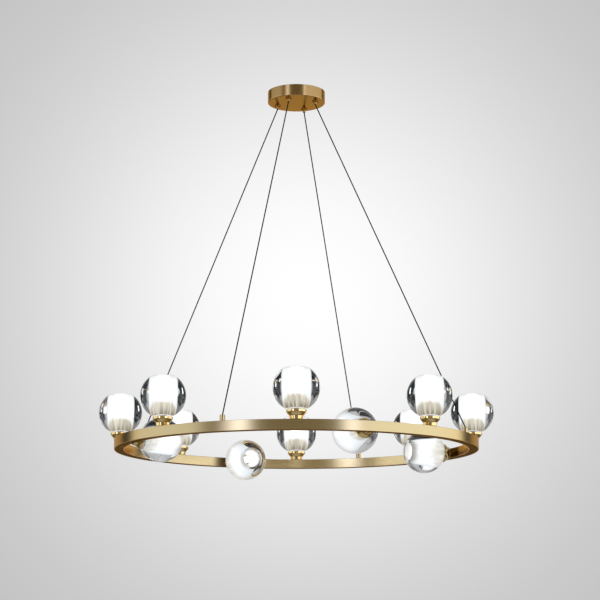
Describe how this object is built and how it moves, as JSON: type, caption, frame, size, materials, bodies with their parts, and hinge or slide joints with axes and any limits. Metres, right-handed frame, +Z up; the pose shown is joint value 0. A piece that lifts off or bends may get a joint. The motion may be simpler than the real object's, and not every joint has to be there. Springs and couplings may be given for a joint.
{
  "type": "ring chandelier",
  "caption": "Brass ring chandelier hung on straight black cables from a round ceiling canopy, with solid clear glass orb shades on white cores standing on the ring and lying inside it.",
  "frame": {"origin": "centre of the ceiling bracket's upper face, on the ceiling plane", "axes": "+Z up into the ceiling, the ring level below, +X along the ceiling bracket, -Y towards the picture's viewer"},
  "size_m": [0.918, 0.918, 0.904],
  "materials": {
    "satin_brass": "brushed satin",
    "polished_brass": "polished",
    "crystal": "clear, polished",
    "opal": "frosted white",
    "bulb": "satin white",
    "porcelain": "matt",
    "steel": "zinc plated",
    "cable": "matt black sleeve",
    "wire": "matt",
    "gasket": "translucent silicone"
  },
  "bodies": {
    "canopy": {"canopy_cover": "satin_brass", "ceiling_bracket": "steel", "canopy_side_screws": "satin_brass", "cable_glands": "satin_brass", "gland_nuts": "steel", "terminal_block": "porcelain", "canopy_leads": "wire"},
    "ring": {"orb_up_1": "crystal", "cup_up_1": "polished_brass", "orb_up_2": "crystal", "cup_up_2": "polished_brass", "orb_up_3": "crystal", "cup_up_3": "polished_brass", "orb_up_4": "crystal", "cup_up_4": "polished_brass", "orb_up_5": "crystal", "cup_up_5": "polished_brass", "orb_up_6": "crystal", "cup_up_6": "polished_brass", "orb_up_7": "crystal", "cup_up_7": "polished_brass", "orb_up_8": "crystal", "cup_up_8": "polished_brass", "orb_in_1": "crystal", "cup_in_1": "polished_brass", "orb_in_2": "crystal", "cup_in_2": "polished_brass", "orb_in_3": "crystal", "cup_in_3": "polished_brass", "orb_in_4": "crystal", "cup_in_4": "polished_brass", "lamp_liners": "opal", "lamp_gaskets": "gasket", "lamp_clamp_rings": "polished_brass", "lamp_sockets": "porcelain", "lamp_nipples": "steel", "lamp_locknuts": "steel", "ring_channel": "satin_brass", "ring_cover": "satin_brass", "cover_screws": "satin_brass", "cover_standoffs": "steel", "ring_harness": "wire", "post_nuts": "steel", "cable_posts": "satin_brass"},
    "cable_1": {"cable_1": "cable"},
    "cable_2": {"cable_2": "cable"},
    "cable_3": {"cable_3": "cable"},
    "cable_4": {"cable_4": "cable"},
    "bulb_up_1": {"bulb_up_1": "bulb"},
    "bulb_up_2": {"bulb_up_2": "bulb"},
    "bulb_up_3": {"bulb_up_3": "bulb"},
    "bulb_up_4": {"bulb_up_4": "bulb"},
    "bulb_up_5": {"bulb_up_5": "bulb"},
    "bulb_up_6": {"bulb_up_6": "bulb"},
    "bulb_up_7": {"bulb_up_7": "bulb"},
    "bulb_up_8": {"bulb_up_8": "bulb"},
    "bulb_in_1": {"bulb_in_1": "bulb"},
    "bulb_in_2": {"bulb_in_2": "bulb"},
    "bulb_in_3": {"bulb_in_3": "bulb"},
    "bulb_in_4": {"bulb_in_4": "bulb"}
  },
  "joints": [
    {"name": "ring_sway", "type": "hinge", "parent": "canopy", "child": "ring", "pos_m": [0, 0, 0.07199], "axis": [0, 1, 0], "range_deg": [-5, 5]},
    {"name": "cable_1_sway", "type": "hinge", "parent": "canopy", "child": "cable_1", "pos_m": [0.01875, 0.04527, -0.036], "axis": [0, 1, 0], "range_deg": [-5.7, 5.7]},
    {"name": "cable_2_sway", "type": "hinge", "parent": "canopy", "child": "cable_2", "pos_m": [-0.04527, 0.01875, -0.036], "axis": [0, 1, 0], "range_deg": [-5.7, 5.7]},
    {"name": "cable_3_sway", "type": "hinge", "parent": "canopy", "child": "cable_3", "pos_m": [-0.01875, -0.04527, -0.036], "axis": [0, 1, 0], "range_deg": [-5.7, 5.7]},
    {"name": "cable_4_sway", "type": "hinge", "parent": "canopy", "child": "cable_4", "pos_m": [0.04527, -0.01875, -0.036], "axis": [0, 1, 0], "range_deg": [-5.7, 5.7]},
    {"name": "bulb_up_1_pull", "type": "slide", "parent": "ring", "child": "bulb_up_1", "axis": [0, 0, 1], "range_m": [0, 0.068]},
    {"name": "bulb_up_2_pull", "type": "slide", "parent": "ring", "child": "bulb_up_2", "axis": [0, 0, 1], "range_m": [0, 0.068]},
    {"name": "bulb_up_3_pull", "type": "slide", "parent": "ring", "child": "bulb_up_3", "axis": [0, 0, 1], "range_m": [0, 0.068]},
    {"name": "bulb_up_4_pull", "type": "slide", "parent": "ring", "child": "bulb_up_4", "axis": [0, 0, 1], "range_m": [0, 0.068]},
    {"name": "bulb_up_5_pull", "type": "slide", "parent": "ring", "child": "bulb_up_5", "axis": [0, 0, 1], "range_m": [0, 0.068]},
    {"name": "bulb_up_6_pull", "type": "slide", "parent": "ring", "child": "bulb_up_6", "axis": [0, 0, 1], "range_m": [0, 0.068]},
    {"name": "bulb_up_7_pull", "type": "slide", "parent": "ring", "child": "bulb_up_7", "axis": [0, 0, 1], "range_m": [0, 0.068]},
    {"name": "bulb_up_8_pull", "type": "slide", "parent": "ring", "child": "bulb_up_8", "axis": [0, 0, 1], "range_m": [0, 0.068]},
    {"name": "bulb_in_1_pull", "type": "slide", "parent": "ring", "child": "bulb_in_1", "axis": [-0.9239, -0.3827, 0], "range_m": [0, 0.068]},
    {"name": "bulb_in_2_pull", "type": "slide", "parent": "ring", "child": "bulb_in_2", "axis": [0.3827, -0.9239, 0], "range_m": [0, 0.068]},
    {"name": "bulb_in_3_pull", "type": "slide", "parent": "ring", "child": "bulb_in_3", "axis": [0.9239, 0.3827, 0], "range_m": [0, 0.068]},
    {"name": "bulb_in_4_pull", "type": "slide", "parent": "ring", "child": "bulb_in_4", "axis": [-0.3827, 0.9239, 0], "range_m": [0, 0.068]}
  ],
  "couplings": [
    {"joint": "cable_1_sway", "follows": "ring_sway", "ratio": 1.1361},
    {"joint": "cable_2_sway", "follows": "ring_sway", "ratio": 1.1361},
    {"joint": "cable_3_sway", "follows": "ring_sway", "ratio": 1.1361},
    {"joint": "cable_4_sway", "follows": "ring_sway", "ratio": 1.1361}
  ]
}
